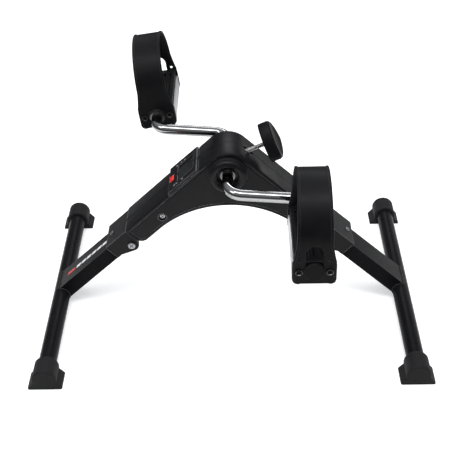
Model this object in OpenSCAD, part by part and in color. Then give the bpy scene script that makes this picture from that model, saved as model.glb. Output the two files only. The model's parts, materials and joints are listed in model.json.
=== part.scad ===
// Folding pedal exerciser: an arched two-shell housing on two hinged legs with foot bars,
// a crankset with two strapped pedals, a screw brake on the crank drum and a small meter.
// The origin is on the floor, midway between the foot bars. +X runs from the left foot bar
// to the right one, +Y from the front pedal to the rear one, and +Z is up.

/* [Base] */
// Distance between the centres of the two foot bars
foot_spacing = 460; // [440:5:480]
// Length of a foot bar with its two end caps
foot_length = 370; // [300:5:420]
// Outer diameter of the round foot bar
bar_d = 22.4; // [20:0.2:24]
// Height of the foot bar's centre above the floor
bar_z = 13.8; // [13.4:0.1:14.4]

/* [Legs] */
// Width of the rectangular leg tube, along Y
leg_w = 38; // [34:1:38]
// Height of the rectangular leg tube
leg_t = 20; // [18:0.5:20]

/* [Housing] */
// Height of the crank axis above the floor
crank_z = 210.5; // [205:0.5:220]
// Radius of the dome round the crank axis
dome_r = 30; // [30:0.5:32]
// Slope of the two arms, in degrees
arm_angle = 43.5; // [42:0.5:45]
// Length of an arm from the dome to its end face
arm_len = 157.3; // [154:0.1:160]
// Whole thickness of the housing, along Y
housing_w = 57; // [57:1:60]
// Wall thickness of the shells
wall = 2.6; // [2.2:0.1:2.8]
// Radius of the arch under the housing
arch_r = 130; // [126:1:134]

/* [Cranks] */
// Diameter of the bent crank rods
rod_d = 14; // [12:0.5:14]
// Crank length, from the crank axis to the pedal spindle
crank_len = 95; // [85:1:100]
// Angle by which the front crank points below the horizontal
crank_tilt = 5; // [0:1:10]
// Distance of the crank arms from the middle plane
arm_offset = 73; // [71:1:75]

/* [Pedals] */
// Distance of a pedal's inner plate from the middle plane
pedal_in = 107; // [106:1:109]
// Distance of a pedal's outer plate from the middle plane
pedal_out = 214; // [208:1:218]
// Width of a pedal's end plates
pedal_w = 49; // [48:1:52]
// Tilt of the rear pedal about its spindle
rear_pedal_tilt = 8; // [0:1:12]
// Height of the strap's arch above the spindle
strap_top = 92; // [86:1:100]

/* [Brake] */
// Slope of the tension screw
screw_angle = 24; // [22:1:26]
// Distance from the crank axis to the knob's back face, along the screw
knob_at = 54.9; // [50:0.1:58]
// Thickness of the knob
knob_t = 14.8; // [11:0.1:16]

/* [Hidden] */
$fn = 64;

// Colours
black = [0.06, 0.06, 0.065];
rubber = [0.1, 0.1, 0.1];
steel = [0.78, 0.79, 0.8];
zinc = [0.6, 0.61, 0.58];
nylon = [0.85, 0.84, 0.8];

// Housing in its own XZ plane; the arm frame starts at the left hinge pin
half_w = housing_w / 2;
arm_dir = [cos(arm_angle), sin(arm_angle)];
arm_up = [-sin(arm_angle), cos(arm_angle)];
hinge_below = 21.3;      // hinge pin below the arm's top face
end_u = 10.2;            // arm's end face beyond the hinge pin
hinge = [0, crank_z] + (dome_r - hinge_below) * arm_up - (arm_len + end_u) * arm_dir;
under_n = -7.5;          // arm's underside, from the hinge pin
corner_r = 12;           // rounding of the arm's lower corner
arch_z = hinge.y + (under_n - arch_r + hinge.x * arm_up.x) / arm_up.y;
shell_lip = 1.5;         // step round the outer edge of each shell
screw_u = 61.9;          // shell screw in the arm frame
screw_n = 3.1;
tongue_w = 36;
tongue_r = 8.5;

// Crank boss and bearing, from the middle plane outwards
boss_r = 24.5;
boss_crown = 38;
collar_r = 5.2;
recess_r = 12.8;
recess_y = 30.5;
bush_r = 10;
bush_in = 15;
rod_r = rod_d / 2;
drum_r = 11;
drum_w = 16;
sensor_y = -9;
inner_bend = 18;
outer_bend = 16;

// Leg line, from the foot bar's centre to the hinge pin
bar_x = -foot_spacing / 2;
hinge_drop = 5.8;
hinge_reach = norm([hinge.x - bar_x, hinge.y - bar_z]);
leg_angle = atan2(hinge.y - bar_z, hinge.x - bar_x) + asin(hinge_drop / hinge_reach);
hinge_s = sqrt(hinge_reach * hinge_reach - hinge_drop * hinge_drop);
pin_r = 3;
cheek_in = leg_w / 2 + 0.3;
cheek_out = 25;
cap_len = 29.4;
cap_r = 15.4;

// Meter on the left arm, in the arm frame
meter_u0 = 93.2;
meter_u1 = 144.3;
meter_n = hinge_below;
lcd_u = 124;
lcd_size = [28, 33];
button_u = 99;
button_size = [7, 12];

// Tension screw, in the screw frame
screw_offset = 4.7;      // screw above the crank axis
shoe_back = 18.8;
nut_t = [21, 25];
screw_r = 3;
pad_gap = 0.3;           // pad to drum with the knob fully tightened
knob_side = 34;          // between the centres of two knob corners
knob_round = 8;
knob_turn = -32;

// Pedal, round its spindle
stud_x = 17;
bush_len = 12;
pedal_bush_r = 8.8;
tread_z = 13;
pedal_low = -16;
strap_t = 2.5;
strap_end_w = 48;
strap_top_w = 38;

// A point of the left arm, u along the arm and n square to it
function on_line(u, n) = hinge + u * arm_dir + n * arm_up;

// Frames
module on_arm() translate([hinge.x, 0, hinge.y]) rotate([0, -arm_angle, 0]) children();
module on_leg() translate([bar_x, 0, bar_z]) rotate([0, -leg_angle, 0]) children();
module on_hinge() on_leg() translate([hinge_s, 0, -hinge_drop]) children();
module on_right() mirror([1, 0, 0]) children();
module on_rear() mirror([0, 1, 0]) children();
module on_crank() translate([0, 0, crank_z]) children();
module on_front_arm() on_crank() rotate([0, crank_tilt, 0]) children();
module on_rear_arm() on_crank() on_rear() rotate([0, 180 + crank_tilt, 0]) children();
module on_screw() on_crank() rotate([0, -screw_angle, 0]) translate([0, 0, screw_offset])
    children();
module on_front_pedal()
    translate([crank_len * cos(crank_tilt), 0, crank_z - crank_len * sin(crank_tilt)])
    children();
module on_rear_pedal()
    translate([-crank_len * cos(crank_tilt), 0, crank_z + crank_len * sin(crank_tilt)])
    rotate([0, -rear_pedal_tilt, 0]) on_rear() children();

// Building blocks
module xz(y0, y1) translate([0, y1, 0]) rotate([90, 0, 0])
    linear_extrude(height = y1 - y0) children();
module ycyl(r, y0, y1, x = 0, z = 0) translate([x, y1, z]) rotate([90, 0, 0])
    cylinder(r = r, h = y1 - y0);
module xcyl(r, x0, x1) translate([x0, 0, 0]) rotate([0, 90, 0]) cylinder(r = r, h = x1 - x0);
module box(x, y, z) translate([x[0], y[0], z[0]]) cube([x[1] - x[0], y[1] - y[0], z[1] - z[0]]);
module rounded_rect(x, z, r) {
    for (cx = [x[0] + r, x[1] - r], cz = [z[0] + r, z[1] - r]) translate([cx, cz]) circle(r = r);
    translate([x[0] + r, z[0]]) square([x[1] - x[0] - 2 * r, z[1] - z[0]]);
    translate([x[0], z[0] + r]) square([x[1] - x[0], z[1] - z[0] - 2 * r]);
}
module hex_nut(flats, h, bore) difference() {
    cylinder(r = flats / sqrt(3), h = h, $fn = 6);
    translate([0, 0, -1]) cylinder(r = bore, h = h + 2);
}

// Outline of the housing, drawn smaller all round by inset
module arm_outline(inset) {
    polygon([
        [0, crank_z],
        [0, crank_z] + (dome_r - inset) * arm_up,
        on_line(end_u + inset, hinge_below - inset),
        on_line(end_u + inset, under_n + corner_r),
        on_line(end_u + corner_r, under_n + inset),
        [0, arch_z] + (arch_r + inset) * arm_up,
        [0, arch_z]
    ]);
    translate(on_line(end_u + corner_r, under_n + corner_r)) circle(r = corner_r - inset);
}
module housing_outline(inset) difference() {
    union() {
        translate([0, crank_z]) circle(r = dome_r - inset);
        arm_outline(inset);
        mirror([1, 0]) arm_outline(inset);
    }
    translate([0, arch_z]) circle(r = arch_r + inset, $fn = 180);
}

// Raised round boss with a crowned collar round the crank
module crank_boss() on_crank() rotate([90, 0, 0]) rotate_extrude() difference() {
    union() {
        square([boss_r, half_w + 2.5]);
        translate([recess_r + collar_r, boss_crown - collar_r]) circle(r = collar_r);
        square([recess_r + 2 * collar_r, boss_crown - collar_r]);
    }
    translate([-1, -1]) square([boss_r + 2, half_w]);
}

// Solid features inside a shell: bearing tower, screw towers, nut seat and tongue pads
module shell_insides(sensor_post) {
    ycyl(13, -half_w, -bush_in, 0, crank_z);
    if (sensor_post) ycyl(3, -half_w, sensor_y, -19, crank_z - 3);
    for (side = [0, 1]) mirror([side, 0, 0]) on_arm() {
        ycyl(5, -half_w, -0.1, screw_u, screw_n);
        box([13, 71], [-half_w, -tongue_w / 2 - 0.1], [-8, 15]);
    }
    on_screw() {
        box([nut_t[0] + 0.1, 27.5], [-half_w, -0.1], [-7.5, 7.5]);
        box([drum_r, nut_t[0] + 0.1], [-half_w, -0.1], [4.7, 7.5]);
        box([drum_r, nut_t[0] + 0.1], [-half_w, -0.1], [-17, -14.1]);
    }
}

// The front shell has the screw heads' recesses and the sensor's post
module shell(head) difference() {
    union() {
        xz(-half_w + shell_lip, 0) housing_outline(0);
        xz(-half_w, -half_w + shell_lip) housing_outline(shell_lip);
        crank_boss();
    }
    difference() {
        xz(-half_w + wall, 1) housing_outline(wall);
        shell_insides(head);
    }
    ycyl(bush_r + 0.03, -boss_crown, 1, 0, crank_z);
    ycyl(recess_r, -boss_crown - 1, -recess_y, 0, crank_z);
    for (side = [0, 1]) mirror([side, 0, 0]) on_arm() {
        ycyl(2.05, -half_w - 1, 1, screw_u, screw_n);
        if (head) ycyl(5, -half_w - 1, -half_w + 4, screw_u, screw_n);
        box([end_u - 1, 22], [-tongue_w / 2 - 0.2, 1], [under_n - 1, tongue_r + 0.7]);
        box([12, 72], [-tongue_w / 2 - 0.1, 1], [-3.2, tongue_r + 0.2]);
    }
    on_arm() {
        box([meter_u0 - 0.3, meter_u1 + 0.3], [-half_w - 1, 1], [meter_n - 1, meter_n + 10]);
        box([meter_u0 + 1.7, meter_u1 - 3.4], [-23.4, 1], [meter_n - 6, meter_n]);
    }
    on_screw() {
        box([24, dome_r + 5], [-4.5, 1], [-6, 6]);
        translate([nut_t[0], 0, 0]) rotate([0, 90, 0]) rotate([0, 0, 30])
            cylinder(r = 5.3, h = nut_t[1] - nut_t[0] + 0.1, $fn = 6);
    }
}

module shell_screws() color(steel)
    for (side = [0, 1]) mirror([side, 0, 0]) on_arm() {
        ycyl(2, -half_w + 4, 20, screw_u, screw_n);
        ycyl(4, -half_w + 1.6, -half_w + 4, screw_u, screw_n);
    }

module crank_bush() color(nylon) on_crank() difference() {
    union() {
        ycyl(bush_r, -recess_y, -bush_in);
        ycyl(12.4, -bush_in, -bush_in + 1.5);
    }
    ycyl(rod_r + 0.06, -half_w - 5, -5);
}

// Steel channel that carries the hinge pin; it is clamped between the shells
module tongue() color(zinc) on_arm() difference() {
    union() {
        ycyl(tongue_r, -tongue_w / 2, tongue_w / 2);
        box([0, 70], [-tongue_w / 2, tongue_w / 2], [-3, tongue_r]);
    }
    box([-12, 72], [-tongue_w / 2 + 3, tongue_w / 2 - 3], [-12, tongue_r - 3]);
    ycyl(pin_r + 0.05, -30, 30);
    ycyl(2.1, -30, 30, screw_u, screw_n);
}
module hinge_bolts() color(steel)
    for (side = [0, 1]) mirror([side, 0, 0]) on_arm() {
        ycyl(pin_r, -cheek_out - 0.3, cheek_out + 4);
        difference() {
            ycyl(4.75, -cheek_out - 3, -cheek_out - 0.3);
            box([-3.2, 3.2], [-30, -cheek_out - 2], [-0.6, 0.6]);
            box([-0.6, 0.6], [-30, -cheek_out - 2], [-3.2, 3.2]);
        }
    }
module hinge_nuts() color(steel)
    for (side = [0, 1]) mirror([side, 0, 0]) on_arm()
        translate([0, cheek_out + 4.3, 0]) rotate([90, 0, 0]) hex_nut(9, 4, pin_r + 0.02);
module hinge_sleeves() color(steel)
    for (side = [0, 1]) mirror([side, 0, 0]) on_arm() difference() {
        ycyl(4.6, -tongue_w / 2 + 3.1, tongue_w / 2 - 3.1);
        ycyl(pin_r + 0.05, -30, 30);
    }

// Meter: a case that saddles the arm, with its window, display, board, cell and button
module meter_case() color(black) on_arm() difference() {
    union() {
        xz(-half_w, half_w) polygon([
            [meter_u0, meter_n - 0.9], [meter_u1, meter_n - 0.9], [meter_u1, meter_n + 0.2],
            [meter_u1 - 1, meter_n + 0.9], [meter_u0 + 1.5, meter_n + 2.5],
            [meter_u0, meter_n + 1.2]
        ]);
        box([meter_u0 + 3.8, meter_u1 - 3.8], [-23, 23], [meter_n - 11, meter_n - 0.9]);
    }
    box([meter_u0 + 5.8, meter_u1 - 5.8], [-21, 21], [meter_n - 12, meter_n - 1.6]);
    box([lcd_u - lcd_size[0] / 2, lcd_u + lcd_size[0] / 2],
        [-lcd_size[1] / 2, lcd_size[1] / 2], [meter_n - 3, meter_n + 4]);
    box([button_u - button_size[0] / 2 - 0.4, button_u + button_size[0] / 2 + 0.4],
        [-button_size[1] / 2 - 0.4, button_size[1] / 2 + 0.4], [meter_n - 4.4, meter_n + 4]);
}
module lcd_lens() color([0.35, 0.38, 0.36]) on_arm()
    box([lcd_u - lcd_size[0] / 2 + 0.1, lcd_u + lcd_size[0] / 2 - 0.1],
        [-lcd_size[1] / 2 + 0.1, lcd_size[1] / 2 - 0.1], [meter_n - 0.8, meter_n + 0.7]);
module lcd_panel() color([0.5, 0.56, 0.48]) on_arm()
    box([lcd_u - 14.5, lcd_u + 14], [-18.5, 18.5], [meter_n - 4, meter_n - 1.7]);
module meter_board() color([0.1, 0.35, 0.15]) on_arm()
    box([meter_u0 + 6.2, meter_u1 - 6.2], [-20.5, 20.5], [meter_n - 6.2, meter_n - 4.6]);
module meter_battery() color(steel) on_arm() translate([lcd_u, 0, meter_n - 9.8])
    cylinder(r = 5.8, h = 3.4);
module meter_button() color([0.75, 0.05, 0.04]) on_arm()
    box([button_u - button_size[0] / 2, button_u + button_size[0] / 2],
        [-button_size[1] / 2, button_size[1] / 2], [meter_n - 2.6, meter_n + 3.2]);
module reed_sensor() color([0.2, 0.3, 0.25]) on_crank()
    box([-23, -15], [sensor_y, sensor_y + 4], [-6, 0]);

// Crankset
module rod_bend(radius, at, start) translate([at.x, at.y, 0]) rotate([0, 0, start])
    rotate_extrude(angle = 90) translate([radius, 0]) circle(r = rod_r);
module crank_rod() color(steel) difference() {
    union() {
        ycyl(rod_r, -arm_offset + inner_bend, -0.4);
        rod_bend(inner_bend, [inner_bend, -arm_offset + inner_bend], 180);
        translate([0, -arm_offset, 0]) xcyl(rod_r, inner_bend, crank_len - outer_bend);
        rod_bend(outer_bend, [crank_len - outer_bend, -arm_offset - outer_bend], 0);
        ycyl(rod_r, -pedal_out + 8.2, -arm_offset - outer_bend, crank_len);
        ycyl(4, -pedal_out + 3.2, -pedal_out + 8.2, crank_len);
    }
    translate([0, -4.5, -20]) cylinder(r = 2.02, h = 40);
}
module crank_drum() color(zinc) on_front_arm() difference() {
    ycyl(drum_r, -drum_w / 2, drum_w / 2);
    ycyl(rod_r + 0.02, -20, 20);
    for (y = [-4.5, 4.5]) translate([0, y, -20]) cylinder(r = 2.02, h = 40);
    box([-drum_r - 1, -8], [-2, 2], [-2, 2]);
}
module drum_pins() color(steel) on_front_arm()
    for (y = [-4.5, 4.5]) translate([0, y, -drum_r + 0.4]) cylinder(r = 2, h = 2 * drum_r - 0.8);
module crank_washers() color(steel) on_front_arm()
    for (side = [0, 1]) mirror([0, side, 0]) difference() {
        ycyl(9.5, -recess_y - 2.3, -recess_y - 0.3);
        ycyl(rod_r + 0.02, -40, 0);
    }
module crank_magnet() color([0.3, 0.3, 0.32]) on_front_arm()
    box([-drum_r + 0.2, -8.1], [-1.9, 1.9], [-1.9, 1.9]);
module pedal_washer() difference() {
    ycyl(9.5, -103.4, -101.4, crank_len);
    ycyl(rod_r + 0.02, -110, -95, crank_len);
}
module pedal_washers() color(steel) {
    on_front_arm() pedal_washer();
    on_rear_arm() pedal_washer();
}
module spindle_nut() translate([crank_len, -pedal_out + 7.9, 0]) rotate([90, 0, 0])
    hex_nut(13, 4.2, 4.02);
module spindle_nuts() color(steel) {
    on_front_arm() spindle_nut();
    on_rear_arm() spindle_nut();
}

// Pedal, drawn round its spindle on the front side
module pedal_block() color(black) difference() {
    union() {
        for (y = [-pedal_in - 4, -pedal_out])
            xz(y, y + 4) rounded_rect([-pedal_w / 2, pedal_w / 2], [pedal_low, tread_z], 5);
        difference() {
            box([-22, 22], [-pedal_out + 4, -pedal_in - 4], [-14, tread_z]);
            box([-19, 19], [-pedal_out + 5, -pedal_in - 5], [-15, 4]);
        }
        ycyl(12, -pedal_out + 4, -pedal_in - 4);
    }
    ycyl(7.6, -pedal_out - 1, -pedal_in + 1);
    ycyl(pedal_bush_r + 0.02, -pedal_in - bush_len, -pedal_in + 1);
    ycyl(pedal_bush_r + 0.02, -pedal_out + 8.8, -pedal_out + 8.8 + bush_len);
    ycyl(10.5, -pedal_out - 1, -pedal_out + 8.8);
    for (x = [-16, -8, 0, 8, 16])
        box([x - 2.2, x + 2.2], [-pedal_out + 10, -pedal_in - 10], [10, tread_z + 1]);
    for (x = [-stud_x, stud_x]) ycyl(3.05, -pedal_out - 1, -pedal_in + 1, x);
}
module pedal_bush(y0) difference() {
    ycyl(pedal_bush_r, y0, y0 + bush_len);
    ycyl(rod_r + 0.05, y0 - 1, y0 + bush_len + 1);
}
module pedal_bushes() color(nylon) {
    pedal_bush(-pedal_out + 8.8);
    pedal_bush(-pedal_in - bush_len);
    difference() {
        ycyl(10.6, -pedal_in, -pedal_in + 3);
        ycyl(rod_r + 0.05, -pedal_in - 1, -pedal_in + 4);
    }
}
module pedal_cap() color(black) {
    ycyl(11.8, -pedal_out - 3.5, -pedal_out);
    ycyl(10.45, -pedal_out, -pedal_out + 2);
}
module pedal_rails() color(steel)
    for (side = [0, 1]) mirror([side, 0, 0])
        box([22, 24.2], [-pedal_out + 8, -pedal_in - 8], [-12, 6]);
module strap_side() {
    flare = 14;
    arch = strap_top - strap_t - (pedal_out - pedal_in) / 2;
    translate([-strap_end_w / 2, 0]) square([strap_end_w, flare]);
    rounded_rect([-strap_end_w / 2, strap_end_w / 2], [pedal_low, flare], 5);
    polygon([
        [-strap_end_w / 2, flare], [-strap_top_w / 2, arch],
        [strap_top_w / 2, arch], [strap_end_w / 2, flare]
    ]);
}
module strap() color(rubber) {
    inner_r = (pedal_out - pedal_in) / 2;
    arch_y = -(pedal_out + pedal_in) / 2;
    arch = strap_top - strap_t - inner_r;
    difference() {
        translate([-strap_top_w / 2, arch_y, arch]) xcyl(inner_r + strap_t, 0, strap_top_w);
        translate([-strap_top_w, arch_y, arch]) xcyl(inner_r, 0, 2 * strap_top_w);
        box([-30, 30], [-pedal_out - 9, -pedal_in + 9], [arch - 80, arch]);
    }
    difference() {
        xz(-pedal_in, -pedal_in + strap_t) strap_side();
        ycyl(11, -pedal_in - 1, -pedal_in + 5);
        for (x = [-stud_x, stud_x]) ycyl(3.05, -pedal_in - 1, -pedal_in + 5, x);
    }
    difference() {
        xz(-pedal_out - strap_t, -pedal_out) strap_side();
        ycyl(12, -pedal_out - 5, -pedal_out + 1);
        ycyl(10.2, -pedal_out - 5, -pedal_out + 1, 0, 24);
        box([-10.2, 10.2], [-pedal_out - 5, -pedal_out + 1], [0, 24]);
        for (x = [-stud_x, stud_x], z = [0, 14]) ycyl(3.05, -pedal_out - 5, -pedal_out + 1, x, z);
    }
}
module strap_studs() color(steel)
    for (x = [-stud_x, stud_x]) {
        ycyl(4.2, -pedal_out - strap_t - 1.4, -pedal_out - strap_t, x);
        ycyl(3, -pedal_out - strap_t, -pedal_out + 3.8, x);
        ycyl(4.2, -pedal_in + strap_t, -pedal_in + strap_t + 1.4, x);
        ycyl(3, -pedal_in - 3.8, -pedal_in + strap_t, x);
    }

// Brake: a felt pad on a shoe that the knob's screw presses against the crank drum
module pad_round(r) translate([1.5, 0, -screw_offset]) ycyl(r, -20, 20);
module brake_shoe() color(zinc) on_screw() difference() {
    box([10, shoe_back], [-7, 7], [-13.7, 4.3]);
    pad_round(drum_r + 2.3);
    xcyl(2.05, shoe_back - 2.9, 30);
}
module brake_pad() color([0.45, 0.42, 0.38]) on_screw() difference() {
    intersection() {
        box([10, shoe_back], [-7, 7], [-12.7, 3.3]);
        pad_round(drum_r + 2.3);
    }
    pad_round(drum_r + pad_gap);
}
module tension_screw() color(zinc) on_screw() {
    xcyl(2, shoe_back - 2.8, shoe_back + 0.1);
    xcyl(screw_r, shoe_back + 0.1, knob_at + knob_t - 3);
}
module tension_nut() color(zinc) on_screw() translate([nut_t[0], 0, 0])
    rotate([0, 90, 0]) rotate([0, 0, 30]) hex_nut(9, nut_t[1] - nut_t[0], screw_r + 0.05);

// Three-cornered knob of constant width: corner arcs and side arcs share the corner centres
module knob_outline() polygon([for (k = [0 : 2]) each concat(
    [for (a = [-30 : 6 : 30]) knob_point(k, knob_round, a)],
    [for (a = [33 : 3 : 87]) knob_point(k + 2, knob_side + knob_round, a - 240)]
)]);
function knob_point(corner, r, a) = knob_side / sqrt(3) * [cos(120 * corner), sin(120 * corner)]
    + r * [cos(120 * corner + a), sin(120 * corner + a)];
module tension_knob() color(black) on_screw() difference() {
    translate([knob_at, 0, 0]) rotate([90, 0, 90]) linear_extrude(height = knob_t)
        rotate([0, 0, knob_turn]) knob_outline();
    translate([knob_at + knob_t + 148, 0, 0]) sphere(r = 150);
    xcyl(screw_r + 0.02, knob_at - 1, knob_at + knob_t - 2.9);
}

// Leg, drawn on the left
module foot_bar() color(black) translate([bar_x, 0, bar_z]) difference() {
    ycyl(bar_d / 2, -foot_length / 2 + 3, foot_length / 2 - 3);
    ycyl(bar_d / 2 - 1.5, -foot_length / 2, foot_length / 2);
}
module leg_tube() color(black) difference() {
    on_leg() difference() {
        box([0, hinge_s - 10.8], [-leg_w / 2, leg_w / 2], [-leg_t / 2, leg_t / 2]);
        box([-1, hinge_s], [-leg_w / 2 + 1.5, leg_w / 2 - 1.5], [-leg_t / 2 + 1.5, leg_t / 2 - 1.5]);
        translate([hinge_s - 19, 0, 0]) cylinder(r = 1.8, h = 20);
    }
    translate([bar_x, 0, bar_z]) ycyl(bar_d / 2, -40, 40);
}
module bracket_cheek() {
    top = leg_t / 2 + hinge_drop + 4.6;
    polygon([[-28.5, -1.8], [-21, -1.8], [-5, -8.3], [0, 0], [9.6, 0], [9.6, top], [-28.5, top]]);
    circle(r = 9.6);
}
module bracket() color(black) on_hinge() difference() {
    xz(-cheek_out, cheek_out) bracket_cheek();
    box([-40, 20], [-cheek_in, cheek_in], [-20, leg_t / 2 + hinge_drop + 0.2]);
    ycyl(pin_r + 0.06, -40, 40);
    translate([-19, 0, 0]) cylinder(r = 1.8, h = 40);
}
module bracket_screw() color(steel) on_hinge() translate([-19, 0, 0]) {
    translate([0, 0, leg_t / 2 + hinge_drop + 4.6]) cylinder(r = 3.2, h = 1.4);
    translate([0, 0, leg_t / 2 + hinge_drop - 6]) cylinder(r = 1.75, h = 10.6);
}
module foot_cap() color(rubber) translate([bar_x, 0, 0]) difference() {
    union() {
        ycyl(cap_r, -foot_length / 2, -foot_length / 2 + cap_len, 0, bar_z - 0.3);
        xz(-foot_length / 2, -foot_length / 2 + cap_len)
            polygon([[-21.4, 0], [-21.4, 1.5], [-14, 9], [14, 9], [21.4, 1.5], [21.4, 0]]);
    }
    box([-30, 30], [-foot_length, 0], [-30, 0]);
    ycyl(bar_d / 2 + 0.05, -foot_length / 2 + 3, 0, 0, bar_z);
    for (y = [-foot_length / 2 + 5 : 6 : -foot_length / 2 + cap_len - 4])
        box([-30, 30], [y, y + 2.4], [-1, 1.2]);
}

color(black) shell(true);  // front_shell
color(black) on_rear() shell(false);  // rear_shell
shell_screws();
crank_bush();  // front_bush
on_rear() crank_bush();  // rear_bush
meter_case();
lcd_lens();
lcd_panel();
meter_board();
meter_battery();
meter_button();
reed_sensor();
tension_nut();
tongue();  // left_tongue
on_right() tongue();  // right_tongue
hinge_bolts();
hinge_nuts();
hinge_sleeves();
on_front_arm() crank_rod();  // front_crank
on_rear_arm() crank_rod();  // rear_crank
crank_drum();
drum_pins();
crank_washers();
crank_magnet();
pedal_washers();
spindle_nuts();
on_front_pedal() pedal_block();  // front_pedal_block
on_front_pedal() pedal_bushes();  // front_pedal_bushes
on_front_pedal() pedal_cap();  // front_pedal_cap
on_front_pedal() pedal_rails();  // front_pedal_rails
on_front_pedal() strap();  // front_strap
on_front_pedal() strap_studs();  // front_strap_studs
on_rear_pedal() pedal_block();  // rear_pedal_block
on_rear_pedal() pedal_bushes();  // rear_pedal_bushes
on_rear_pedal() pedal_cap();  // rear_pedal_cap
on_rear_pedal() pedal_rails();  // rear_pedal_rails
on_rear_pedal() strap();  // rear_strap
on_rear_pedal() strap_studs();  // rear_strap_studs
brake_shoe();
brake_pad();
tension_screw();
tension_knob();
foot_bar();  // left_foot_bar
leg_tube();  // left_leg_tube
bracket();  // left_bracket
bracket_screw();  // left_bracket_screw
foot_cap();  // left_front_foot
on_rear() foot_cap();  // left_rear_foot
on_right() foot_bar();  // right_foot_bar
on_right() leg_tube();  // right_leg_tube
on_right() bracket();  // right_bracket
on_right() bracket_screw();  // right_bracket_screw
on_right() foot_cap();  // right_front_foot
on_right() on_rear() foot_cap();  // right_rear_foot
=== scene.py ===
"""Looks of the folding pedal exerciser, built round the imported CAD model.

Shapes are drawn in local millimetres and placed by frames that come from the model's
joints, so every piece sits where the CAD says. Front parts are drawn towards local -Y,
and their rear twins are mirrored in Y.
"""

import json
import math

import bmesh
import bpy
from mathutils import Matrix, Vector, noise


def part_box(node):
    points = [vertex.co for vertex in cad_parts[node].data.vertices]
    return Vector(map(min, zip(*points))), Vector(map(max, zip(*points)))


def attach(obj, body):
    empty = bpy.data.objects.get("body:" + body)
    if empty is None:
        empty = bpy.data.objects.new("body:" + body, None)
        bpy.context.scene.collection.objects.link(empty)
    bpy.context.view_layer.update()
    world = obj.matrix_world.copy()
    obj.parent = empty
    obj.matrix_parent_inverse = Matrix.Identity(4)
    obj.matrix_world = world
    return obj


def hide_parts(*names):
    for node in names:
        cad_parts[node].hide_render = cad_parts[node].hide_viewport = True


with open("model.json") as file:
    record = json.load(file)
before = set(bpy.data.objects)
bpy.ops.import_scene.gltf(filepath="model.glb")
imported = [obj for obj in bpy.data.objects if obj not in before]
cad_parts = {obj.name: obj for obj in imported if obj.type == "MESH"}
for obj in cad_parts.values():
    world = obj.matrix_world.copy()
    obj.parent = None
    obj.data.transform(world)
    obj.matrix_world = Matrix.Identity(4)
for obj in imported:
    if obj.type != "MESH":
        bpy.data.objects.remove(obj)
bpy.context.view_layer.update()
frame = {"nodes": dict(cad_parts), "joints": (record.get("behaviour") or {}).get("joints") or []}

MM = 0.001
JOINTS = {joint["name"]: joint for joint in frame["joints"]}

# ---------------------------------------------------------------- driving sizes, in mm
ARM_ANGLE = 43.5
DOME_R = 30.0
ARCH_R = 130.0
HINGE_BELOW = 21.3
END_U = 11.2
UNDER_N = -7.5
CORNER_R = 12.0
WALL = 2.6
HALF_W = 28.5
TONGUE_HALF = 18.2
SCREW_U, SCREW_N = 61.9, 3.1
METER_U = (93.2, 144.3)
LCD_U, LCD_SIZE = 124.0, (28.0, 33.0)
BUTTON_U, BUTTON_SIZE = 99.0, (7.0, 12.0)
BUTTON_GAP = 0.4
METER_SEAT = 1.8
METER_GAPS = (1.2, 1.8)
METER_OPENING_HALF = 23.4
CASE_LOW_N, CASE_HIGH_N, CASE_DROP = 20.4, 23.8, 0.5
BOSS_HOLE_R = 20.6
CUP_HOLE_R = 5.8
ROD_R = 7.0
CRANK_LEN = 95.0
CRANK_TILT = 5.0
ARM_OFFSET = 73.0
INNER_BEND = 18.0
OUTER_BEND = 16.0
PEDAL_IN = 107.0
PEDAL_OUT = 214.0
REAR_TILT = 8.0
STRAP_T = 2.5
STRAP_TOP = 92.0
STRAP_END_W = 48.0
STRAP_MID_W = 39.5
STRAP_TOP_W = 37.0
STRAP_FLARE = 14.0
PEDAL_LOW = -16.0
STUD_X = 17.0
STUD_HOLE_R = 3.05
SPARE_HOLE_R, SPARE_HOLE_Z = 1.9, 16
OUTER_CAP_HOLE_R, INNER_ROD_HOLE_R = 12.0, 11.0
BRAKE_OFFSET = 4.7
KNOB_AT, KNOB_T = 54.9, 14.8
KNOB_SIDE, KNOB_ROUND, KNOB_TURN = 34.0, 8.0, -32.0
LEG_W = 38.0
LEG_T = 20.0
BAR_R = 11.2
HINGE_DROP = 5.8
CHEEK_OUT = 25.0
FOOT_LENGTH = 370.0
CAP_LEN = 29.4
CAP_R = 15.4


def joint_point(name):
    """A joint's place in mm, moved into the middle plane."""
    x, _, z = JOINTS[name]["pos_m"]
    return Vector((x, 0, z)) / MM


CRANK = joint_point("crank_turn")
HINGE = joint_point("left_leg_fold")
bar_low, bar_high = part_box("left_foot_bar")
BAR = (bar_low + bar_high) / 2 / MM


# ---------------------------------------------------------------- frames
def place(origin, tilt=0.0):
    """Matrix from local mm to metres; local X rises by tilt degrees, local Y is world Y."""
    turn = Matrix.Rotation(math.radians(-tilt), 4, "Y")
    return Matrix.Scale(MM, 4) @ Matrix.Translation(origin) @ turn


MIRROR_X = Matrix.Diagonal((-1, 1, 1, 1))
MIRROR_Y = Matrix.Diagonal((1, -1, 1, 1))
Y_TO_X = Matrix.Rotation(-math.pi / 2, 4, "Z")
MIDDLE = place((0, 0, 0))
ARM = place(HINGE, ARM_ANGLE)
SIDES = {"left": Matrix.Identity(4), "right": MIRROR_X}
ENDS = {"front": Matrix.Identity(4), "rear": MIRROR_Y}
CRANKS = {
    "front": place(CRANK, -CRANK_TILT),
    "rear": place(CRANK, 180 - CRANK_TILT) @ MIRROR_Y,
}
PEDALS = {
    "front": place(joint_point("front_pedal_turn")),
    "rear": place(joint_point("rear_pedal_turn"), REAR_TILT) @ MIRROR_Y,
}
axis_x, _, axis_z = JOINTS["knob_turn"]["axis"]
SCREW = place(CRANK, math.degrees(math.atan2(axis_z, axis_x))) @ Matrix.Translation(
    (0, 0, BRAKE_OFFSET)
)
reach = HINGE - Vector((BAR.x, 0, BAR.z))
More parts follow.
